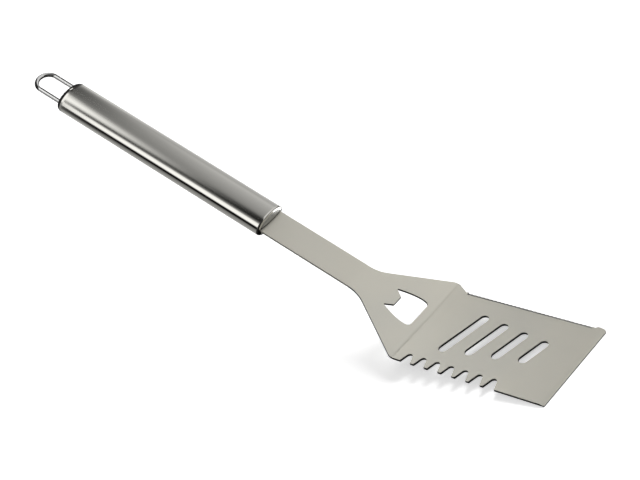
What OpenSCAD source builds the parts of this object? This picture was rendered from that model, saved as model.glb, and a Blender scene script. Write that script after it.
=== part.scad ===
// Barbecue spatula: bent sheet blade on a stem, oval tube handle, wire hanging loop.
// Millimetres. The blade lies flat on z = 0 and points to +X, its saw edge faces +Y,
// and the handle rises to the rear. The length is centred on x = 0.

/* [Blade] */
// Thickness of the sheet
sheet_t = 2; // [1.6:0.1:2.4]
// Length of the blade, front edge to heel bend
blade_l = 133.1; // [131:0.1:145]
// Width across the front edge
front_w = 80.6; // [79:0.2:83]
// Width across the heel bend
heel_w = 84.8; // [84:0.1:88]
// Inside radius of the heel bend
heel_bend_r = 6; // [4:0.5:9]
// Radius of the front corner on the saw side
saw_corner_r = 2.6; // [2:0.1:4]
// Radius of the front corner on the tooth side
tooth_corner_r = 1; // [0.6:0.1:2]
// Width of the ground bevel along the front edge
bevel_w = 4.8; // [3:0.1:8]
// Thickness left at the front edge
bevel_land = 1; // [0.6:0.1:1.4]

/* [Saw edge] */
// Distance of the saw edge from the middle at its rear end
saw_rear_y = 37.5; // [36.5:0.1:38]
// Distance of the saw edge from the middle at its front end
saw_front_y = 39.8; // [39:0.1:40]
// Angle of the step from the heel down to the saw edge
step_angle = 29; // [27:1:32]
// Radius at the top of that step
step_r = 4; // [2:0.5:5]
// Distance of the first saw tooth from the front edge
saw_start = 120.6; // [118:0.1:121]
// Number of saw teeth
saw_count = 31; // [24:1:40]
// Depth of a saw tooth
saw_depth = 0.8; // [0.4:0.1:1.1]
// Distance of the last saw tooth from the front edge
saw_end = 10.6; // [10:0.1:13]
// Depth of the notch in front of the saw edge
end_notch_d = 1.9; // [1:0.1:2]
// Width of the notches at both ends of the saw edge
end_notch_w = 3.2; // [2.4:0.1:4]

/* [Teeth] */
// Number of scallops between the big teeth
scallop_count = 7; // [4:1:7]
// Distance from one scallop to the next
scallop_pitch = 12.4; // [12:0.1:12.8]
// Distance of the front scallop from the front edge
scallop_first = 46.9; // [44:0.1:48]
// Distance of the front scallop's root from the middle
root_y = 31.7; // [31:0.1:34]
// Step of the roots outward from each scallop to the next
root_step = 0.38; // [0:0.02:0.5]
// Radius of a scallop's root
root_r = 2.7; // [2:0.1:2.9]
// Angle of a scallop's flank to its axis
flank_angle = 17; // [12:1:19]
// Lean of the scallops to the front
scallop_lean = 1; // [-4:1:4]

/* [Slots] */
// Number of drain slots
slot_count = 4; // [2:1:4]
// Width of a slot
slot_w = 7.5; // [5:0.1:9]
// Distance from one slot to the next
slot_pitch = 20; // [18:0.1:20.5]
// Distance of the front slot's middle from the front edge
slot_first = 37; // [34:0.1:40]
// Length of the front slot
slot_l = 26; // [20:0.1:28]
// Added length of each slot to the rear
slot_step = 6.5; // [3:0.1:7]
// Slant of the slots
slot_slant = 16; // [0:1:20]
// Side shift of the front slot
slot_y = 1.4; // [0:0.1:3]
// Side shift taken back by each slot to the rear
slot_drop = 0.9; // [0:0.1:1]

/* [Shoulder and opener] */
// Pitch of the shoulder over the blade
shoulder_pitch = 25.5; // [24:0.1:30]
// Length of the shoulder, heel bend to neck crease
shoulder_l = 64.6; // [64:0.1:75]
// Angle of the shoulder's edges to its axis
shoulder_angle = 30.5; // [30:0.5:36]
// Radius of the shoulder's corners
shoulder_r = 5; // [3:0.5:7]
// Radius of the neck
neck_r = 30; // [20:1:36]
// Side shift of the opener
opener_y = 0.6; // [-1:0.1:1]
// Distance of the opener from the heel bend
opener_s = 6.8; // [6:0.1:8]
// Length of the opener to the end of its horns
opener_l = 25.8; // [24:0.1:26]
// Width of the opener at its front
opener_w = 24.4; // [22:0.1:25]
// Width of the opener across its horns
horn_w = 17; // [16:0.1:18]
// Bulge of the opener's sides
opener_bulge = 2.4; // [1:0.1:3]
// Radius of a horn's end
horn_r = 0.7; // [0.5:0.1:0.9]
// Radius of the opener's front corners
opener_r = 2; // [1:0.1:3]
// Length of the lip that lifts the cap
lip_l = 6; // [4:0.1:6.5]
// Width of the lip at its tip
lip_w = 9; // [7:0.1:10]
// Width of the lip at its root
lip_root_w = 15.6; // [14:0.1:15.6]

/* [Stem] */
// Width of the stem
stem_w = 24.7; // [20:0.1:24.8]
// Pitch of the stem and the handle over the blade
handle_pitch = 22.8; // [16:0.1:23.5]
// Length of the stem, neck crease to handle
stem_l = 82.2; // [60:0.1:110]
// Length of the tang inside the handle
tang_l = 34; // [20:1:60]
// Radius of the tang's corners
tang_r = 3; // [1:0.5:6]

/* [Handle] */
// Width of the handle
handle_w = 30.6; // [30:0.1:34]
// Height of the handle
handle_h = 20.2; // [19:0.1:22]
// Length of the handle without its cap
tube_l = 202.5; // [150:0.5:240]
// Wall of the handle
tube_wall = 1; // [0.8:0.1:1.2]
// Outside radius of the rolled mouth
lip_r = 2.7; // [2.4:0.1:3.2]
// Inside radius of the rolled mouth
lip_inner_r = 1.3; // [1:0.1:1.5]
// Distance from the outside of the handle in to the opening of its mouth
mouth_in = 2.65; // [2.6:0.05:2.7]
// Thickness of the plug behind the mouth
plug_l = 5; // [3:0.5:10]
// Length of the rear cap
cap_l = 6.7; // [6:0.1:9]
// Radius of the rear cap's edge
cap_r = 4.5; // [3:0.1:4.6]
// Thickness of the rear cap's end
cap_wall = 2.4; // [1.6:0.1:2.8]
// Length of the rear cap's collar inside the tube
collar_l = 7; // [4:0.5:12]
// Wall of that collar
collar_wall = 1.2; // [0.8:0.1:1.4]

/* [Hanging loop] */
// Thickness of the wire
wire_d = 3.5; // [2.5:0.1:3.6]
// Distance between the middles of the loop's legs
loop_w = 18.3; // [16:0.1:18.6]
// Length of the loop behind the cap
loop_l = 33; // [20:0.5:60]
// Length of the legs inside the cap
leg_in = 8; // [4:0.5:12]

/* [Joints] */
// Clearance all round of the tang in the plug
tang_fit = 0.15; // [0.05:0.05:0.2]
// Clearance all round of the plug and the collar in the tube
press_fit = 0.05; // [0.02:0.01:0.1]
// Clearance all round of the legs in the cap
leg_fit = 0.1; // [0.05:0.05:0.2]
// Size of the weld beads on the tang
tang_bead = 2; // [1:0.1:3]
// Length of the weld beads on the tang
tang_bead_l = 21; // [10:0.5:22]
// Size of the weld beads on the legs
leg_bead = 1.4; // [0.8:0.1:1.6]

/* [Hidden] */
// Overrun of every cut
over = 1;
// Half widths and thicknesses
front_y = front_w / 2;
heel_y = heel_w / 2;
stem_y = stem_w / 2;
mid_t = sheet_t / 2;
wire_r = wire_d / 2;
handle_a = handle_w / 2;
handle_b = handle_h / 2;
// Flat length taken by half of the heel bend, on the top face, and the small turn at the neck
heel_take = heel_bend_r * tan(shoulder_pitch / 2);
flat_l = blade_l - heel_take;
neck_turn = shoulder_pitch - handle_pitch;
// Side view of the sheet: directions along and out of the shoulder and the stem, then the
// corners of its top face, the bend at the heel and the lower side of the crease at the neck
along_1 = [-cos(shoulder_pitch), sin(shoulder_pitch)];
out_1 = [sin(shoulder_pitch), cos(shoulder_pitch)];
along_2 = [-cos(handle_pitch), sin(handle_pitch)];
out_2 = [sin(handle_pitch), cos(handle_pitch)];
heel_corner = [-blade_l, sheet_t];
neck_corner = heel_corner + shoulder_l * along_1;
tang_corner = neck_corner + (stem_l + tang_l) * along_2;
heel_1 = [-flat_l, sheet_t];
heel_2 = heel_corner + heel_take * along_1;
heel_middle = heel_1 + [0, heel_bend_r];
neck_lower = neck_corner - sheet_t * (out_1 + out_2) / (1 + out_1 * out_2);
// Whole length, and the place of the front edge that centres it
handle_end_l = stem_l + tube_l + cap_l + loop_l - wire_r;
total_l = blade_l + shoulder_l * cos(shoulder_pitch) + handle_end_l * cos(handle_pitch)
    + mid_t * sin(handle_pitch) + wire_r;
front_x = total_l / 2;
// Saw edge
step_tangent = step_r * tan(step_angle / 2);
step_corner = blade_l - step_tangent;
step_foot = saw_start + end_notch_w / 2;
saw_pitch = (saw_start - saw_end) / saw_count;
saw_rise = saw_front_y - saw_rear_y;
// Shoulder outline: places along its axis
shoulder_start = heel_take + shoulder_r * tan(shoulder_angle / 2);
neck_start = shoulder_start + (heel_y - stem_y) / tan(shoulder_angle);
neck_tangent = neck_r * tan(shoulder_angle / 2);
shoulder_tangent = shoulder_r * tan(shoulder_angle / 2);
// Oval of the handle: two wide arcs above and below, two tight arcs at the sides. The
// middles of the arcs lie at the corners of right triangles with sides as 3 to 4 to 5.
side_y = (handle_a - handle_b) * 3 / 2;
side_r = (3 * handle_b - handle_a) / 2;
wide_x = side_y * 4 / 3;
wide_r = side_r + side_y * 5 / 3;
far = 2 * handle_a;
// Distances of the inner shapes from the outside of the handle
plug_in = tube_wall + press_fit;
pocket_in = plug_in + collar_wall;
bend_s = cap_l + loop_l - wire_r - loop_w / 2;
inner_face = cap_l - cap_wall;
$fn = 96;

// Places: on the shoulder's top face, on the stem's top face, on the handle's axis
module place() {
    translate([front_x, 0, 0]) children();
}

module on_shoulder() {
    translate([-blade_l, 0, sheet_t]) rotate([0, shoulder_pitch, 0]) children();
}

module on_stem() {
    on_shoulder() translate([-shoulder_l, 0, 0]) rotate([0, -neck_turn, 0]) children();
}

// Here z runs to the rear along the handle and x points up out of the stem's top face
module on_axis() {
    place() on_stem() translate([-stem_l, 0, -mid_t]) rotate([0, -90, 0]) children();
}

// Side view of the bent sheet, front edge at x = 0, with the ground bevel
module side_view() {
    difference() {
        union() {
            polygon([
                [0, 0],
                [0, bevel_land],
                [-bevel_w, sheet_t],
                heel_1,
                heel_2,
                neck_corner,
                tang_corner,
                tang_corner - sheet_t * out_2,
                neck_lower,
                heel_2 - sheet_t * out_1,
                [-flat_l, 0]
            ]);
            heel_arc(heel_bend_r + sheet_t);
        }
        heel_arc(heel_bend_r);
    }
}

module heel_arc(r) {
    intersection() {
        translate(heel_middle) circle(r = r);
        polygon([
            heel_middle,
            heel_middle + 2 * (heel_1 - heel_middle),
            heel_middle + 2 * (heel_2 - heel_middle)
        ]);
    }
}

// Blade outline, front edge at x = 0, with its saw edge, before the scallops are cut
module blade_outline() {
    step_1 = [-blade_l, heel_y];
    step_2 = [step_tangent * cos(step_angle) - step_corner, heel_y - step_tangent * sin(step_angle)];
    polygon([
        [0, tooth_corner_r - front_y],
        [0, front_y - saw_corner_r],
        [-saw_corner_r, front_y],
        [end_notch_w - saw_end, front_y],
        [end_notch_w / 2 - saw_end, front_y - end_notch_d],
        for (i = [0:saw_count - 1]) each [
            [-saw_end - i * saw_pitch, saw_front_y - saw_rise * i / saw_count],
            [-saw_end - (i + 1 / 2) * saw_pitch, saw_front_y - saw_rise * i / saw_count - saw_depth]
        ],
        [-saw_start, saw_rear_y],
        [-step_foot, heel_y - (step_corner - step_foot) * tan(step_angle)],
        step_2,
        step_1,
        step_1 + [0, 2 * over],
        [-blade_l - heel_take, heel_y + 2 * over],
        [-blade_l - heel_take, -heel_y - 2 * over],
        [-flat_l, -heel_y - 2 * over],
        [-flat_l, -heel_y],
        [-tooth_corner_r, -front_y]
    ]);
    translate([-saw_corner_r, front_y - saw_corner_r]) circle(r = saw_corner_r);
    translate([-tooth_corner_r, tooth_corner_r - front_y]) circle(r = tooth_corner_r);
    intersection() {
        translate([-blade_l, heel_y - step_r]) circle(r = step_r);
        polygon([step_1, [-step_corner, heel_y], step_2]);
    }
}

// One scallop, the middle of its root at the origin, opening to -Y
module scallop(depth) {
    lean_x = root_r * cos(flank_angle);
    lean_y = root_r * sin(flank_angle);
    mouth_x = lean_x + (depth + lean_y) * tan(flank_angle);
    rotate([0, 0, scallop_lean]) {
        circle(r = root_r);
        polygon([[lean_x, lean_y], [-lean_x, lean_y], [-mouth_x, -depth], [mouth_x, -depth]]);
    }
}

module scallops() {
    for (i = [0:scallop_count - 1])
        translate([-scallop_first - i * scallop_pitch, -root_y - root_r - i * root_step])
            scallop(heel_y - root_y);
}

module slot(length) {
    run = length - slot_w;
    square([slot_w, run], center = true);
    translate([0, run / 2]) circle(d = slot_w);
    translate([0, -run / 2]) circle(d = slot_w);
}

module slots() {
    for (i = [0:slot_count - 1])
        translate([-slot_first - i * slot_pitch, slot_y - i * slot_drop])
            rotate([0, 0, -slot_slant]) slot(slot_l + i * slot_step);
}

// The outlines are cut square to the blade and to the shoulder. At the heel bend they are wider
// than the sheet, whose own sides show there.
module blade_cut() {
    translate([0, 0, -over]) linear_extrude(height = sheet_t + 2 * over) difference() {
        blade_outline();
        scallops();
        slots();
    }
}

// Opener: a curved side from the front corner to the horn, quadratic in t
function side(t) = let (
    x0 = opener_s + opener_r, y0 = opener_w / 2 + opener_r / 4,
    x1 = opener_s + opener_l / 3, y1 = opener_w / 2 + opener_bulge,
    x2 = opener_s + opener_l - horn_r, y2 = horn_w / 2 + horn_r)
    [-(1 - t) * (1 - t) * x0 - 2 * t * (1 - t) * x1 - t * t * x2,
        (1 - t) * (1 - t) * y0 + 2 * t * (1 - t) * y1 + t * t * y2];

module opener_half() {
    horn_x = opener_s + opener_l - horn_r;
    lip_x = opener_s + opener_l - lip_l;
    polygon([
        [-opener_s, 0],
        [-opener_s, opener_w / 2 - opener_r],
        [-opener_s - opener_r / 4, opener_w / 2 - opener_r / 3],
        for (i = [0:8]) side(i / 8),
        [-horn_x, lip_root_w / 2],
        [-lip_x, lip_w / 2],
        [-lip_x, 0]
    ]);
    translate([-horn_x, horn_w / 2]) circle(r = horn_r);
}

module opener() {
    translate([0, opener_y]) {
        opener_half();
        mirror([0, 1, 0]) opener_half();
    }
}

// Outline of the shoulder and the stem on the shoulder's plane, heel bend at x = 0
module shoulder_half() {
    end_x = -shoulder_l - (stem_l + tang_l) * cos(neck_turn);
    fall = sin(shoulder_angle);
    run = cos(shoulder_angle);
    corner_1 = [shoulder_tangent - shoulder_start, heel_y];
    corner_2 = [-shoulder_start - shoulder_tangent * run, heel_y - shoulder_tangent * fall];
    polygon([
        [0, 0],
        [0, heel_y + over],
        corner_1 + [0, over],
        corner_1,
        corner_2,
        [-neck_start + neck_tangent * run, stem_y + neck_tangent * fall],
        [-neck_start, stem_y],
        [end_x + tang_r, stem_y],
        [end_x, stem_y - tang_r],
        [end_x, 0]
    ]);
    translate([end_x + tang_r, stem_y - tang_r]) circle(r = tang_r);
    intersection() {
        translate([shoulder_tangent - shoulder_start, heel_y - shoulder_r]) circle(r = shoulder_r);
        polygon([corner_1, [-shoulder_start, heel_y], corner_2]);
    }
    difference() {
        polygon([
            [-neck_start, stem_y],
            [-neck_start + neck_tangent * run, stem_y + neck_tangent * fall],
            [-neck_start - neck_tangent, stem_y],
            [-neck_start - neck_tangent, 0],
            [-neck_start, 0]
        ]);
        translate([-neck_start - neck_tangent, stem_y + neck_r]) circle(r = neck_r);
    }
}

module shoulder_cut() {
    drop = sheet_t + over + (stem_l + tang_l) * sin(neck_turn);
    on_shoulder() translate([0, 0, -drop]) linear_extrude(height = drop + over) difference() {
        union() {
            shoulder_half();
            mirror([0, 1, 0]) shoulder_half();
        }
        opener();
    }
}

module turner_blade() {
    color([0.72, 0.71, 0.67]) place() intersection() {
        translate([0, heel_y, 0]) rotate([90, 0, 0]) linear_extrude(height = heel_w) side_view();
        union() {
            blade_cut();
            shoulder_cut();
        }
    }
}

// A round block with one rounded edge, its flat face at z = start
module puck(a, start, end, r) {
    rotate_extrude() {
        translate([0, start]) polygon([[0, 0], [a - r, 0], [a, r], [a, end - start], [0, end - start]]);
        if (r > 0) translate([a - r, start]) intersection() {
            translate([0, r]) circle(r = r);
            square([r, r]);
        }
    }
}

// An oval block inside the handle's outline by a given distance, made of four round blocks
module oval(inset, start, end, r = 0) {
    for (s = [0, 1]) mirror([s, 0, 0]) intersection() {
        translate([-wide_x, 0, 0]) puck(wide_r - inset, start, end, r);
        translate([0, 0, start]) linear_extrude(height = end - start)
            polygon([[0, -side_y], [0, side_y], [far, side_y + far * 3 / 4], [far, -side_y - far * 3 / 4]]);
    }
    for (s = [0, 1]) mirror([0, s, 0]) intersection() {
        translate([0, side_y, 0]) puck(side_r - inset, start, end, r);
        translate([0, side_y, start]) linear_extrude(height = end - start)
            polygon([[0, 0], [far, far * 3 / 4], [far, far], [-far, far], [-far, far * 3 / 4]]);
    }
}

module handle_tube() {
    color([0.66, 0.66, 0.66]) on_axis() difference() {
        oval(0, 0, tube_l, lip_r);
        oval(tube_wall, tube_wall, tube_l + over, lip_inner_r);
        oval(mouth_in, -over, tube_wall + over);
    }
}

module front_plug() {
    gap_h = sheet_t + 2 * tang_fit;
    gap_w = stem_w + 2 * tang_fit;
    color([0.45, 0.45, 0.45]) on_axis() difference() {
        oval(plug_in, tube_wall, tube_wall + plug_l, lip_inner_r);
        translate([-gap_h / 2, -gap_w / 2, 0]) cube([gap_h, gap_w, plug_l + tube_wall + over]);
    }
}

module rear_cap() {
    color([0.6, 0.6, 0.6]) on_axis() translate([0, 0, tube_l]) difference() {
        union() {
            translate([0, 0, cap_l]) mirror([0, 0, 1]) oval(0, 0, cap_l, cap_r);
            oval(plug_in, -collar_l, over);
        }
        oval(pocket_in, -collar_l - over, inner_face);
        for (side = [-1, 1])
            translate([0, side * loop_w / 2, 0]) cylinder(r = wire_r + leg_fit, h = cap_l + over);
    }
}

module hanging_loop() {
    leg_l = bend_s - inner_face + leg_in;
    color([0.8, 0.8, 0.8]) on_axis() translate([0, 0, tube_l]) {
        translate([0, 0, bend_s]) rotate([0, -90, 0]) rotate([0, 0, -90]) rotate_extrude(angle = 180)
            translate([loop_w / 2, 0]) circle(r = wire_r);
        for (side = [-1, 1])
            translate([0, side * loop_w / 2, bend_s - leg_l]) cylinder(r = wire_r, h = leg_l);
    }
}

// Beads along the tang on the rear face of the plug
module tang_welds() {
    color([0.5, 0.5, 0.48]) on_axis() for (side = [0, 1])
        mirror([side, 0, 0]) translate([mid_t, tang_bead_l / 2, tube_wall + plug_l])
            rotate([90, 0, 0]) linear_extrude(height = tang_bead_l) quarter(tang_bead);
}

// Beads round the legs on the inner face of the cap
module loop_welds() {
    color([0.5, 0.5, 0.48]) on_axis() for (side = [-1, 1])
        translate([0, side * loop_w / 2, tube_l + inner_face]) mirror([0, 0, 1]) rotate_extrude()
            translate([wire_r, 0]) quarter(leg_bead);
}

module quarter(r) {
    intersection() {
        circle(r = r);
        square([r, r]);
    }
}

turner_blade();
handle_tube();
front_plug();
rear_cap();
hanging_loop();
tang_welds();
loop_welds();
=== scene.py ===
"""Barbecue spatula in satin steel on a white table. Metres, in the part's own frame."""

import math

import bpy
from mathutils import Matrix, Vector


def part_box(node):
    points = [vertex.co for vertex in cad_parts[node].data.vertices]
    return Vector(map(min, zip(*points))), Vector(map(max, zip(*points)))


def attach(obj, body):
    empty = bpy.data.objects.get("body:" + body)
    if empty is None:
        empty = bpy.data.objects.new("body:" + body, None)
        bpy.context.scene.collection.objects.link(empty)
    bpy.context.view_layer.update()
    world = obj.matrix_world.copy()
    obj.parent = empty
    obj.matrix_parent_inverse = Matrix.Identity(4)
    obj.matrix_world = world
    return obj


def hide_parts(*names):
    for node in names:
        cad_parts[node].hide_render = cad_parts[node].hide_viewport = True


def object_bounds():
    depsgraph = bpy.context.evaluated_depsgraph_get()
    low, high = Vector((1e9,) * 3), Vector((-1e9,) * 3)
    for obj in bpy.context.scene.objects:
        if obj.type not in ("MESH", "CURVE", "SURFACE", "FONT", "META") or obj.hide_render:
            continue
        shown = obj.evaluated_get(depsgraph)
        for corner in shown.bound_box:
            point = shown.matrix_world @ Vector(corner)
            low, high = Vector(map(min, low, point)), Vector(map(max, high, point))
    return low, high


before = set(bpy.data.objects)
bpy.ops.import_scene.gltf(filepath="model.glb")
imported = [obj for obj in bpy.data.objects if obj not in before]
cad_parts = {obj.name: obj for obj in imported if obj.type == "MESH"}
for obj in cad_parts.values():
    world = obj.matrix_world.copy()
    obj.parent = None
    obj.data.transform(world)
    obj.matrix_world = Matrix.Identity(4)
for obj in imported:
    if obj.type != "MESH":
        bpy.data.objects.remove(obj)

cad_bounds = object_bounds()
MM = 0.001

# Camera, fitted to the photograph
CAMERA_PLACE = Vector((0.8939, -0.6727, 0.8382))
CAMERA_LOOK = Vector((-0.64308, 0.49933, -0.58062))
CAMERA_UP = Vector((-0.21146, 0.61293, 0.76132))
CAMERA_LENS = 101.25
CAMERA_REACH = 20
SENSOR_WIDTH = 36.0

# Handle: its pitch over the blade and its size
HANDLE_PITCH = math.radians(22.8)
HANDLE_H = 20.2 * MM
TUBE_L = 202.5 * MM
TUBE_WALL = 1.0 * MM
OVAL_SIDES = 144
ROUND_STEPS = 10

# Rim of the mouth: the tube rounds over, runs in along a narrow lip that slopes forward, and
# curls back behind it. The lip's oval is a little flatter than the tube's.
RIM_R = 1.5 * MM
LIP_W = 0.7 * MM
LIP_SLOPE = 0.35 * MM
LIP_EDGE_R = 0.5 * MM
LIP_DROP = 0.3 * MM

# Plug in the mouth: a domed plate whose edge is inset and set back, the collar behind it, and a
# slot with a gap round the stem
PLUG_L = 6.0 * MM
PLUG_INSET = 3.2 * MM
PLUG_BACK = 0.2 * MM
PLUG_COLLAR_Z = 3.0 * MM
DOME_RISE = 0.9 * MM
DOME_MIDDLE_R = 0.1 * MM
DOME_STEPS = 8
SLOT_GAP = 0.7 * MM
SLOT_END_GAP = 0.3 * MM

# Rear cap, with a collar inside the tube
CAP_L = 6.7 * MM
CAP_R = 4.5 * MM
CAP_WALL = 2.4 * MM
COLLAR_L = 7.0 * MM
COLLAR_GAP = 0.05 * MM
COLLAR_WALL = 1.2 * MM

# Hanging loop
WIRE_D = 3.5 * MM
LOOP_W = 18.3 * MM
LOOP_L = 33.0 * MM
LEG_IN = 8.0 * MM
LEG_GAP = 0.1 * MM
WIRE_SIDES = 32
BEND_STEPS = 40

# Sheet: its thickness, the stem's width, and the lengths up to the heel and of the shoulder
SHEET_T = 2.0 * MM
STEM_W = 24.7 * MM
BLADE_L = 133.1 * MM
SHOULDER_L = 64.6 * MM

# Flat that is ground along the saw edge. The edge's ends are measured from the middle of the
# front edge.
SAW_FRONT = Vector((-10.6, 39.8, 0)) * MM
SAW_REAR = Vector((-120.6, 37.5, 0)) * MM
GRIND_W = 2.6 * MM
GRIND_TILT = math.radians(22)
GRIND_DEPTH = 6.0 * MM

# Finish of the sheet: how round its cut edges are, how far from upright a cut wall may lean, and
# how a ground face is told from the rest
EDGE_ROUND = 0.14 * MM
EDGE_STEPS = 2
WALL_LEAN = 0.3
GROUND_UP = 0.9
GROUND_SLACK = 0.02

# Faces closer to one plane than the first angle become one face, edges flatter than the second
# are shaded smooth, and points closer than the reach become one point
FLAT_ANGLE = math.radians(0.5)
SMOOTH_ANGLE = math.radians(50)
WELD_REACH = 0.001 * MM

# Directions: along the handle to its rear, out of the top of the stem, to the side with the
# scalloped teeth, and straight up
ALONG = Vector((-math.cos(HANDLE_PITCH), 0, math.sin(HANDLE_PITCH)))
OUT = Vector((math.sin(HANDLE_PITCH), 0, math.cos(HANDLE_PITCH)))
SIDE = Vector((0, -1, 0))
UP = Vector((0, 0, 1))

FRONT_X = cad_bounds[1][0]
HEEL_X = FRONT_X - BLADE_L
STEM_X = HEEL_X - SHOULDER_L
tube_low, tube_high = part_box("handle_tube")
HANDLE_W = tube_high.y - tube_low.y
tube_rear = Vector(
    (tube_low.x + HANDLE_H / 2 * OUT.x, 0, tube_high.z - HANDLE_H / 2 * OUT.z))
MOUTH = tube_rear - ALONG * TUBE_L
# From a piece drawn upright on the mouth, z to the rear, to its place on the handle
TO_HANDLE = Matrix.Translation(MOUTH) @ Matrix((OUT, -SIDE, ALONG)).transposed().to_4x4()


def deselect():
    if bpy.context.object and bpy.context.object.mode != "OBJECT":
        bpy.ops.object.mode_set(mode="OBJECT")
    bpy.ops.object.select_all(action="DESELECT")


def choose(piece):
    deselect()
    piece.select_set(True)
    bpy.context.view_layer.objects.active = piece


def select_parts(piece, kind, wanted):
    """Opens the piece with only its wanted points or faces selected, and says if there are any."""
    choose(piece)
    bpy.ops.object.mode_set(mode="EDIT")
    bpy.ops.mesh.select_mode(type=kind)
    bpy.ops.mesh.select_all(action="DESELECT")
    bpy.ops.object.mode_set(mode="OBJECT")
    parts = piece.data.vertices if kind == "VERT" else piece.data.polygons
    found = [part for part in parts if wanted(part)]
    for part in found:
        part.select = True
    bpy.ops.object.mode_set(mode="EDIT")
    return bool(found)


def close_shell():
    """Merges the points that lie on each other, and turns all the faces outwards."""
    bpy.ops.mesh.select_all(action="SELECT")
    bpy.ops.mesh.remove_doubles(threshold=WELD_REACH)
    bpy.ops.mesh.normals_make_consistent(inside=False)
    bpy.ops.object.mode_set(mode="OBJECT")


def apply_modifier(piece, kind, **settings):
    choose(piece)
    modifier = piece.modifiers.new(kind.lower(), kind)
    for name, value in settings.items():
        setattr(modifier, name, value)
    bpy.ops.object.modifier_apply(modifier=modifier.name)


def cut_away(piece, tool):
    apply_modifier(piece, "BOOLEAN", operation="DIFFERENCE", solver="EXACT", object=tool)
    bpy.data.objects.remove(tool)


def smooth(piece):
    """Shades the rounded faces smooth and leaves the large ones flat."""
    choose(piece)
    bpy.ops.object.shade_smooth_by_angle(angle=SMOOTH_ANGLE)
    apply_modifier(piece, "WEIGHTED_NORMAL", keep_sharp=True, weight=100)


def put_on_handle(piece):
    """Moves a piece that is drawn upright to its place on the handle, and smooths it."""
    choose(piece)
    piece.matrix_world = TO_HANDLE
    bpy.ops.object.transform_apply(location=True, rotation=True, scale=True)
    smooth(piece)


def finish_with(piece, *steels):
    piece.data.materials.clear()
    for material in steels:
        piece.data.materials.append(material)


def fit(piece, node):
    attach(piece, "root")
    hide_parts(node)


def oval_lathe(name, stations, closed):
    """An oval shell. Each station is a distance in from the outside of the handle, a height, and
    how much further in the oval is at its top and bottom."""
    sizes = [(HANDLE_H / 2 - inset - drop, HANDLE_W / 2 - inset) for inset, _, drop in stations]
    heights = [height for _, height, _ in stations]
    deselect()
    bpy.ops.mesh.primitive_circle_add(
        vertices=OVAL_SIDES, radius=1, fill_type="NOTHING" if closed else "NGON")
    piece = bpy.context.object
    piece.name = name
    bpy.ops.object.mode_set(mode="EDIT")
    bpy.ops.transform.resize(value=(*sizes[0], 1))
    bpy.ops.transform.translate(value=(0, 0, heights[0]))
    for i in range(1, len(stations)):
        bpy.ops.mesh.extrude_region_move(
            TRANSFORM_OT_translate={"value": (0, 0, heights[i] - heights[i - 1])})
        bpy.ops.transform.resize(
            value=(sizes[i][0] / sizes[i - 1][0], sizes[i][1] / sizes[i - 1][1], 1),
            center_override=(0, 0, heights[i]))
    if not closed:
        bpy.ops.mesh.select_all(action="SELECT")
        bpy.ops.mesh.region_to_loop()
        bpy.ops.mesh.edge_face_add()
    close_shell()
    return piece


def quarter(middle, radius, start, drop=0.0, drop_end=None):
    """Stations round a quarter circle, from a start angle, with the drop changing evenly."""
    steps = [i / ROUND_STEPS for i in range(ROUND_STEPS + 1)]
    drop_end = drop if drop_end is None else drop_end
    return [(middle[0] + radius * math.cos(start + math.pi / 2 * t),
             middle[1] + radius * math.sin(start + math.pi / 2 * t),
             drop + (drop_end - drop) * t) for t in steps]


def handle_tube():
    inner = (TUBE_WALL, TUBE_L, 0)
    outer = (0, TUBE_L, 0)
    lip_end = RIM_R + LIP_W
    roll_r = lip_end - TUBE_WALL
    rim = quarter((RIM_R, RIM_R + LIP_SLOPE), RIM_R, math.pi)
    edge = quarter((lip_end, LIP_EDGE_R), LIP_EDGE_R, -math.pi / 2, LIP_DROP)
    edge += quarter((lip_end, LIP_EDGE_R), LIP_EDGE_R, 0, LIP_DROP)[1:]
    roll = quarter((lip_end, 2 * LIP_EDGE_R + roll_r), roll_r, math.pi, 0, LIP_DROP)[::-1]
    stations = [inner, outer] + rim + edge + roll[1:] + [inner]
    piece = oval_lathe("handle_tube_shell", stations, closed=True)
    put_on_handle(piece)
    return piece


def front_plug():
    middle = HANDLE_H / 2 - LIP_DROP - DOME_MIDDLE_R
    outside = PLUG_INSET - DOME_MIDDLE_R
    dome = [(middle + (outside - middle) * t, PLUG_BACK - DOME_RISE * (1 - t * t), LIP_DROP)
            for t in [i / DOME_STEPS for i in range(DOME_STEPS + 1)]]
    collar = TUBE_WALL + COLLAR_GAP
    stations = dome + [(collar, PLUG_COLLAR_Z, 0), (collar, PLUG_L, 0)]
    piece = oval_lathe("front_plug_plate", stations, closed=False)
    deselect()
    bpy.ops.mesh.primitive_cube_add(size=1)
    slot = bpy.context.object
    slot.scale = (SHEET_T + 2 * SLOT_GAP, STEM_W + 2 * SLOT_END_GAP, 3 * PLUG_L)
    cut_away(piece, slot)
    put_on_handle(piece)
    return piece


def rear_cap():
    end = TUBE_L + CAP_L
    collar = TUBE_WALL + COLLAR_GAP
    pocket = collar + COLLAR_WALL
    stations = [
        (pocket, end - CAP_WALL, 0), (pocket, TUBE_L - COLLAR_L, 0),
        (collar, TUBE_L - COLLAR_L, 0), (collar, TUBE_L, 0), (0, TUBE_L, 0)]
    stations += quarter((CAP_R, end - CAP_R), CAP_R, math.pi / 2)[::-1]
    piece = oval_lathe("rear_cap_shell", stations, closed=False)
    for side in (-1, 1):
        deselect()
        bpy.ops.mesh.primitive_cylinder_add(
            vertices=WIRE_SIDES, radius=WIRE_D / 2 + LEG_GAP, depth=2 * CAP_L,
            location=(0, side * LOOP_W / 2, end))
        cut_away(piece, bpy.context.object)
    put_on_handle(piece)
    return piece


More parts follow.
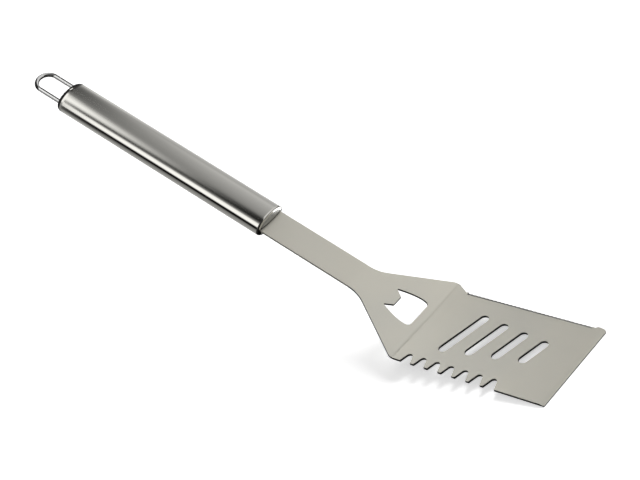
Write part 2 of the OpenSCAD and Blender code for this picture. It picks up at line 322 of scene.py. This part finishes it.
def hanging_loop():
    bend_z = TUBE_L + CAP_L + LOOP_L - WIRE_D / 2 - LOOP_W / 2
    leg_z = TUBE_L + CAP_L - CAP_WALL - LEG_IN
    deselect()
    bpy.ops.mesh.primitive_circle_add(
        vertices=WIRE_SIDES, radius=WIRE_D / 2, fill_type="NGON",
        location=(0, -LOOP_W / 2, leg_z))
    piece = bpy.context.object
    piece.name = "hanging_loop_wire"
    bpy.ops.object.transform_apply(location=True, rotation=True, scale=True)
    bpy.ops.object.mode_set(mode="EDIT")
    bpy.ops.mesh.extrude_region_move(TRANSFORM_OT_translate={"value": (0, 0, bend_z - leg_z)})
    bpy.ops.mesh.spin(steps=BEND_STEPS, angle=math.pi, center=(0, 0, bend_z), axis=(1, 0, 0))
    bpy.ops.mesh.extrude_region_move(TRANSFORM_OT_translate={"value": (0, 0, leg_z - bend_z)})
    close_shell()
    put_on_handle(piece)
    return piece


def is_cut_wall(face):
    """A face through the thickness of the sheet, where the punch or the saw went."""
    upright = UP if face.center.x > HEEL_X else OUT
    return abs(face.normal.dot(upright)) < WALL_LEAN


def is_ground(face):
    """The flat ground along the saw edge."""
    leans_out = abs(face.normal.y - math.sin(GRIND_TILT)) < GROUND_SLACK
    return face.normal.z > GROUND_UP and leans_out


def finish_of(face):
    """Which of the sheet's finishes a face has: 0 satin, 1 cut and darkened with painted shade, 2
    ground. The sides of the stem get no painted shade and are as bright as its top."""
    if is_ground(face):
        return 2
    return 1 if is_cut_wall(face) and face.center.x > STEM_X else 0


def grind_saw_edge(piece):
    """Takes the top corner off the saw edge, as a grinding wheel does."""
    along_saw = SAW_FRONT - SAW_REAR
    turn = math.atan2(along_saw.y, along_saw.x)
    middle = (SAW_FRONT + SAW_REAR) / 2 + Vector((FRONT_X, -GRIND_W, SHEET_T))
    deselect()
    bpy.ops.mesh.primitive_cube_add(size=1)
    wheel = bpy.context.object
    wheel.matrix_world = (
        Matrix.Translation(middle) @ Matrix.Rotation(turn, 4, "Z") @
        Matrix.Rotation(-GRIND_TILT, 4, "X") @
        Matrix.Translation((0, GRIND_DEPTH / 2, GRIND_DEPTH / 2)) @
        Matrix.Diagonal((along_saw.length, GRIND_DEPTH, GRIND_DEPTH, 1)))
    cut_away(piece, wheel)


def keep_in_box(piece):
    """Sets the points that the edge rounding pushed out back onto the sides of the blade."""
    for side, limit in ((-1, cad_bounds[0][1]), (1, cad_bounds[1][1])):
        if select_parts(piece, "VERT", lambda point: side * (point.co.y - limit) > 0):
            bpy.ops.transform.resize(value=(1, 0, 1), center_override=(0, limit, 0))
        bpy.ops.object.mode_set(mode="OBJECT")


def turner_blade(face_steel, cut_steel_painted_shade, ground_steel):
    """The sheet with its cut edges broken, smooth over the bend at the heel."""
    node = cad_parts["turner_blade"]
    piece = bpy.data.objects.new("turner_blade_sheet", node.data.copy())
    bpy.context.collection.objects.link(piece)
    choose(piece)
    bpy.ops.object.mode_set(mode="EDIT")
    bpy.ops.mesh.select_mode(type="FACE")
    bpy.ops.mesh.select_all(action="SELECT")
    bpy.ops.mesh.remove_doubles(threshold=WELD_REACH)
    bpy.ops.mesh.dissolve_limited(angle_limit=FLAT_ANGLE)
    grind_saw_edge(piece)
    select_parts(piece, "FACE", is_cut_wall)
    bpy.ops.mesh.region_to_loop()
    bpy.ops.transform.edge_bevelweight(value=1)
    apply_modifier(piece, "BEVEL", width=EDGE_ROUND, segments=EDGE_STEPS, limit_method="WEIGHT",
                   use_clamp_overlap=False)
    keep_in_box(piece)
    select_parts(piece, "FACE", is_ground)
    bpy.ops.mesh.region_to_loop()
    bpy.ops.mesh.mark_sharp()
    smooth(piece)
    finish_with(piece, face_steel, cut_steel_painted_shade, ground_steel)
    for face in piece.data.polygons:
        face.material_index = finish_of(face)
    return piece


class Wiring:
    """Short words for the nodes of a material or of the world."""

    def __init__(self, tree):
        self.tree = tree
        tree.nodes.clear()

    def add(self, kind, **settings):
        node = self.tree.nodes.new(kind)
        for name, value in settings.items():
            setattr(node, name, value)
        return node

    def join(self, output, socket):
        self.tree.links.new(output, socket)

    def put(self, values, sockets):
        for value, socket in zip(values, sockets):
            if isinstance(value, (int, float)):
                socket.default_value = value
            elif isinstance(value, tuple):
                socket.default_value = (*value, 1)
            else:
                self.join(value, socket)

    def math(self, operation, *values):
        node = self.add("ShaderNodeMath", operation=operation)
        self.put(values, node.inputs)
        return node.outputs[0]

    def between(self, value, ends, out_low=0.0, out_high=1.0):
        node = self.add("ShaderNodeMapRange")
        self.put((value, *ends, out_low, out_high), node.inputs)
        return node.outputs[0]

    def dot(self, place, axis):
        node = self.add("ShaderNodeVectorMath", operation="DOT_PRODUCT")
        self.join(place, node.inputs[0])
        node.inputs[1].default_value = axis
        return node.outputs["Value"]

    def noise(self, place, scale, detail):
        node = self.add("ShaderNodeTexNoise")
        self.join(place, node.inputs["Vector"])
        node.inputs["Scale"].default_value = scale
        node.inputs["Detail"].default_value = detail
        return node.outputs["Fac"]

    def ramp(self, value, stops):
        node = self.add("ShaderNodeValToRGB")
        self.join(value, node.inputs[0])
        elements = node.color_ramp.elements
        while len(elements) < len(stops):
            elements.new(0.5)
        for element, (place, shade) in zip(elements, stops):
            element.position = place
            element.color = (*shade, 1)
        return node.outputs[0]

    def mix(self, share, first, second):
        node = self.add("ShaderNodeMix", data_type="RGBA")
        self.put((share, first, second), (node.inputs[0], node.inputs[6], node.inputs[7]))
        return node.outputs[2]


def grey(level):
    return (level, level, level)


# Brushed grain: how fine it is along and across the piece, where the noise turns from one shade
# to the other, how much darker the deep strokes are, and how much the gloss changes
GRAIN_SCALE = (60, 2200, 2200)
GRAIN_DETAIL = 3.0
GRAIN_SHADES = (0.3, 0.7)
GRAIN_DARKER = 0.97
GRAIN_ENDS = (0.2, 0.8)
GRAIN_GLOSS = (0.85, 1.15)
GRAIN_BUMP = 0.3
# Soft patches of the second shade
PATCH_SCALE = 9.0
PATCH_DETAIL = 3.0
PATCH_ENDS = (0.35, 0.65)
# Painted shade on the plug, a near-black band where its plate meets the stem: how far it reaches
# over the stem's faces, and how softly it ends
SHADE_BAND_H = 0.9 * MM
SHADE_BAND_SOFT = 1.3
SHADE_BAND_COLOUR = grey(0.01)


def steel(name, light, dark, rough, brush_turn, brush_depth, painted_shade=False):
    """Satin steel: a brushed grain along the piece, and soft patches of a second shade. A
    near-black painted shade lies where the plate of the mouth meets the stem."""
    material = bpy.data.materials.new(name)
    material.use_nodes = True
    wiring = Wiring(material.node_tree)
    output = wiring.add("ShaderNodeOutputMaterial")
    shader = wiring.add("ShaderNodeBsdfPrincipled")
    shader.inputs["Metallic"].default_value = 1.0
    place = wiring.add("ShaderNodeTexCoord").outputs["Object"]
    grain_place = wiring.add("ShaderNodeMapping")
    wiring.join(place, grain_place.inputs["Vector"])
    grain_place.inputs["Rotation"].default_value = (0, brush_turn, 0)
    grain_place.inputs["Scale"].default_value = GRAIN_SCALE
    grain = wiring.noise(grain_place.outputs[0], 1.0, GRAIN_DETAIL)
    clouds = wiring.noise(place, PATCH_SCALE, PATCH_DETAIL)
    first, second = [
        wiring.ramp(grain, list(zip(GRAIN_SHADES, ([c * GRAIN_DARKER for c in shade], shade))))
        for shade in (light, dark)]
    colour = wiring.mix(wiring.between(clouds, PATCH_ENDS), first, second)
    # Painted shade: the plate turns near black close to the stem, where shade falls between the
    # parts
    if painted_shade:
        over = wiring.math("SUBTRACT", wiring.dot(place, OUT), MOUTH.dot(OUT))
        top = SHEET_T / 2 + SHADE_BAND_H
        unshaded = wiring.between(wiring.math("ABSOLUTE", over), (top, SHADE_BAND_SOFT * top))
        colour = wiring.mix(unshaded, SHADE_BAND_COLOUR, colour)
    wiring.join(colour, shader.inputs["Base Color"])
    gloss = wiring.between(grain, GRAIN_ENDS, *[rough * share for share in GRAIN_GLOSS])
    wiring.join(gloss, shader.inputs["Roughness"])
    bump = wiring.add("ShaderNodeBump")
    bump.inputs["Strength"].default_value = GRAIN_BUMP
    bump.inputs["Distance"].default_value = brush_depth
    wiring.join(grain, bump.inputs["Height"])
    wiring.join(bump.outputs[0], shader.inputs["Normal"])
    wiring.join(shader.outputs[0], output.inputs[0])
    return material


# The studio, as the steel sees it: stops of (angle round the handle in degrees, brightness).
# 0 looks straight up out of the stem, and 90 looks level, to the side of the scalloped teeth.
MOUTH_PANELS = [
    (-180, 0.60), (-120, 0.85), (-96, 0.62), (-84, 0.58), (-76, 0.66), (-66, 0.75), (-48, 0.63),
    (-32, 0.54), (-16, 0.44), (-6, 0.36), (2, 0.20), (8, 0.05), (14, 0.01), (26, 0.02),
    (34, 0.20), (40, 0.50), (46, 1.5), (65, 1.7), (71, 1.05), (76, 0.05), (80, 0.0), (94, 0.0),
    (100, 0.13), (106, 0.27), (112, 0.36), (136, 0.44), (160, 0.52), (180, 0.60)]
REAR_PANELS = [
    (-180, 0.75), (-120, 0.90), (-96, 0.80), (-84, 0.50), (-72, 0.28), (-60, 0.18), (-44, 0.17),
    (-24, 0.21), (-12, 0.30), (-4, 0.60), (4, 1.3), (12, 1.6), (20, 1.4), (26, 0.75), (31, 0.08),
    (40, 0.08), (46, 1.0), (52, 1.6), (69, 1.6), (75, 1.05), (79, 0.10), (84, 0.0), (101, 0.0),
    (108, 0.06), (117, 0.22), (128, 0.38), (152, 0.58), (180, 0.75)]
# The same for what lies past the rear end, as the loop and the round of the cap see it, and the
# dark beyond that
END_PANELS = [
    (-180, 0.08), (-150, 0.03), (-28, 0.04), (-14, 0.40), (-6, 1.6), (44, 1.6), (54, 0.70),
    (62, 0.38), (90, 0.34), (150, 0.38), (180, 0.08)]
END_DARK = 0.03
# The same round the mouth and in front of it: soft light on the sheet. Below the floor's edge,
# by how far a direction points up, only a share of it is left.
FRONT_PANELS = [
    (-180, 0.05), (-150, 0.05), (-112, 0.35), (-90, 0.92), (-2, 0.92), (8, 0.05), (60, 0.06),
    (100, 0.25), (125, 0.30), (150, 0.30), (180, 0.05)]
FLOOR_SHARE = 0.08
FLOOR_EDGE = (-0.10, 0.15)
# Where one set of panels turns into the next, as the share of a direction that runs along the
# handle to its rear
FRONT_TO_MOUTH = (0.34, 0.37)
MOUTH_TO_REAR = (0.3945, 0.502)
REAR_TO_END = (0.511, 0.517)
END_TO_DARK = (0.56, 0.62)
# How late the turn from mouth to rear comes, as a power: on the far side, on the near side, and
# what is added from the dark band down. The pairs are angles round the handle.
FAR_DELAY = 2.7
NEAR_DELAY = 2.0
FAR_TO_NEAR = (math.radians(-20), math.radians(10))
BAND_DELAY = 1.2
BAND_START = (math.radians(14), math.radians(28))
# Small lamp for the bevel at the front edge: the cosines of its soft rim and of its full part
BEVEL_LAMP_WAY = Vector((-0.36, 0.49, 0.795)).normalized()
BEVEL_LAMP_LIGHT = 2.3
BEVEL_LAMP_RIM = (math.cos(math.radians(7.5)), math.cos(math.radians(4)))

# What the table and the camera see of the room, and the white table itself
ROOM_LIGHT = 0.28
BACKDROP_WHITE = 1.08
TABLE_WHITE = 0.96
TABLE_GLOW = 0.56
TABLE_SIZE = 6.0
TABLE_TILT = math.radians(5.0)

# Soft sun, for the shadow on the table
SUN_WAY = Vector((-0.10, 0.75, 0.65))
SUN_STRENGTH = 2.3
SUN_SPREAD = math.radians(35)
# Light for the sheet, kept off the handle
BLADE_LIGHT_WAY = Vector((-0.76, 0.22, 0.61))
BLADE_LIGHT_STRENGTH = 0.69
BLADE_LIGHT_SPREAD = math.radians(28)
# Flat light for the lip of the mouth, by its middle: under the stem, on its far side, ahead
LIP_LIGHT_UNDER = 12.0 * MM
LIP_LIGHT_ASIDE = 44.0 * MM
LIP_LIGHT_AHEAD = 45.0 * MM
LIP_LIGHT_SIZE = (80.0 * MM, 60.0 * MM)
LIP_LIGHT_STRENGTH = 0.0384


def studio():
    """A soft room: the camera sees plain white, the table even light, and the steel panels."""
    world = bpy.data.worlds.new("studio")
    bpy.context.scene.world = world
    world.use_nodes = True
    wiring = Wiring(world.node_tree)
    output = wiring.add("ShaderNodeOutputWorld")
    direction = wiring.add("ShaderNodeTexCoord").outputs["Generated"]
    along = wiring.dot(direction, ALONG)
    angle = wiring.math("ARCTAN2", wiring.dot(direction, SIDE), wiring.dot(direction, OUT))
    turn = wiring.between(angle, (-math.pi, math.pi))

    def panels(stops):
        return wiring.ramp(turn, [(degrees / 360 + 0.5, grey(level)) for degrees, level in stops])

    delay = wiring.math("ADD", wiring.between(angle, FAR_TO_NEAR, FAR_DELAY, NEAR_DELAY),
                        wiring.between(angle, BAND_START, 0.0, BAND_DELAY))
    to_rear = wiring.math("POWER", wiring.between(along, MOUTH_TO_REAR), delay)
    handle_sees = wiring.mix(to_rear, panels(MOUTH_PANELS), panels(REAR_PANELS))
    handle_sees = wiring.mix(
        wiring.between(along, REAR_TO_END), handle_sees, panels(END_PANELS))
    handle_sees = wiring.mix(wiring.between(along, END_TO_DARK), handle_sees, grey(END_DARK))
    above = wiring.between(wiring.dot(direction, UP), FLOOR_EDGE, FLOOR_SHARE, 1.0)
    front = wiring.mix(above, grey(0.0), panels(FRONT_PANELS))
    steel_sees = wiring.mix(wiring.between(along, FRONT_TO_MOUTH), front, handle_sees)
    in_lamp = wiring.between(wiring.dot(direction, BEVEL_LAMP_WAY), BEVEL_LAMP_RIM)
    steel_sees = wiring.mix(in_lamp, steel_sees, grey(BEVEL_LAMP_LIGHT))
    rays = wiring.add("ShaderNodeLightPath")
    others_see = wiring.mix(
        rays.outputs["Is Camera Ray"], grey(ROOM_LIGHT), grey(BACKDROP_WHITE))
    seen = wiring.mix(rays.outputs["Is Glossy Ray"], others_see, steel_sees)
    background = wiring.add("ShaderNodeBackground")
    wiring.join(seen, background.inputs[0])
    wiring.join(background.outputs[0], output.inputs[0])


def add_light(name, kind, **settings):
    lamp = bpy.data.lights.new(name, kind)
    for key, value in settings.items():
        setattr(lamp, key, value)
    light = bpy.data.objects.new(name, lamp)
    bpy.context.collection.objects.link(light)
    return light


def soft_sun():
    sun = add_light("soft_sun", "SUN", energy=SUN_STRENGTH, angle=SUN_SPREAD)
    sun.rotation_euler = SUN_WAY.to_track_quat("Z", "Y").to_euler()
    sun.visible_glossy = False


def blade_light(sheet):
    """Light that falls on the sheet alone, as if boards kept it off the handle."""
    light = add_light(
        "blade_light", "SUN", energy=BLADE_LIGHT_STRENGTH, angle=BLADE_LIGHT_SPREAD)
    light.rotation_euler = BLADE_LIGHT_WAY.to_track_quat("Z", "Y").to_euler()
    lit = bpy.data.collections.new("lit_by_blade_light")
    lit.objects.link(sheet)
    light.light_linking.receiver_collection = lit


def lip_light():
    """A flat light that only shows where the steel mirrors it."""
    width, depth = LIP_LIGHT_SIZE
    light = add_light("lip_light", "AREA", shape="RECTANGLE", size=width, size_y=depth,
                      energy=LIP_LIGHT_STRENGTH)
    light.matrix_world = (
        TO_HANDLE @
        Matrix.Translation((-LIP_LIGHT_UNDER, LIP_LIGHT_ASIDE, -LIP_LIGHT_AHEAD)) @
        Matrix.Rotation(-math.pi / 2, 4, "Y"))
    light.visible_camera = False
    light.visible_diffuse = False


def table():
    """The white table touches the blade's front edge and falls away under its heel."""
    deselect()
    bpy.ops.mesh.primitive_plane_add(size=TABLE_SIZE, location=(FRONT_X, 0, 0))
    top = bpy.context.object
    top.name = "table"
    bpy.ops.transform.rotate(value=TABLE_TILT, orient_axis="Y", center_override=(FRONT_X, 0, 0))
    white = bpy.data.materials.new("table_white")
    white.use_nodes = True
    shader = white.node_tree.nodes["Principled BSDF"]
    shader.inputs["Base Color"].default_value = (*grey(TABLE_WHITE), 1)
    shader.inputs["Roughness"].default_value = 1.0
    shader.inputs["Specular IOR Level"].default_value = 0.0
    shader.inputs["Emission Color"].default_value = (1, 1, 1, 1)
    shader.inputs["Emission Strength"].default_value = TABLE_GLOW
    top.data.materials.append(white)
    top.visible_glossy = False


def camera():
    eye = bpy.data.cameras.new("camera")
    eye.lens = CAMERA_LENS
    eye.sensor_width = SENSOR_WIDTH
    eye.sensor_fit = "HORIZONTAL"
    eye.clip_end = CAMERA_REACH
    holder = bpy.data.objects.new("camera", eye)
    bpy.context.collection.objects.link(holder)
    look = CAMERA_LOOK.normalized()
    up = (CAMERA_UP - look * CAMERA_UP.dot(look)).normalized()
    right = look.cross(up)
    turned = Matrix((right, up, -look)).transposed().to_4x4()
    holder.matrix_world = Matrix.Translation(CAMERA_PLACE) @ turned
    bpy.context.scene.camera = holder


camera()
studio()
soft_sun()
table()
lip_light()
bpy.context.scene.view_settings.view_transform = "Standard"

# Steels: two shades, roughness, how far the brushing is turned from level, and its depth
sheet_steel = steel(
    "sheet_steel", (0.74, 0.715, 0.63), (0.69, 0.675, 0.61), 0.48, 0.0, 0.02 * MM)
# Cut walls: a rougher cut steel, made far darker than it is by painted shade for the dark that the
# walls face
cut_steel_painted_shade = steel(
    "cut_steel_painted_shade", (0.15, 0.15, 0.14), (0.10, 0.10, 0.095), 0.50, 0.0, 0.03 * MM)
ground_steel = steel(
    "ground_steel", (0.40, 0.39, 0.36), (0.34, 0.33, 0.31), 0.40, 0.0, 0.03 * MM)
tube_steel = steel(
    "tube_steel", (0.62, 0.61, 0.57), (0.60, 0.59, 0.555), 0.085, HANDLE_PITCH, 0.004 * MM)
wire_steel = steel(
    "wire_steel", (0.66, 0.66, 0.65), (0.60, 0.60, 0.59), 0.08, HANDLE_PITCH, 0.002 * MM)
dull_steel = steel(
    "dull_steel", (0.38, 0.38, 0.37), (0.32, 0.32, 0.31), 0.45, HANDLE_PITCH, 0.02 * MM)
# The plate carries a painted shade where it meets the stem
plate_steel = steel(
    "plate_steel", (0.46, 0.46, 0.45), (0.40, 0.40, 0.39), 0.40, HANDLE_PITCH, 0.02 * MM,
    painted_shade=True)

sheet = turner_blade(sheet_steel, cut_steel_painted_shade, ground_steel)
fit(sheet, "turner_blade")
blade_light(sheet)
for make, node, slot, material in (
        (handle_tube, "handle_tube", "handle_steel", tube_steel),
        (rear_cap, "rear_cap", "handle_steel", tube_steel),
        (hanging_loop, "hanging_loop", "wire_steel", wire_steel),
        (front_plug, "front_plug", "plug_steel", plate_steel)):
    piece = make()
    finish_with(piece, material)
    fit(piece, node)
for name in ("tang_welds", "loop_welds"):
    finish_with(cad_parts[name], dull_steel)
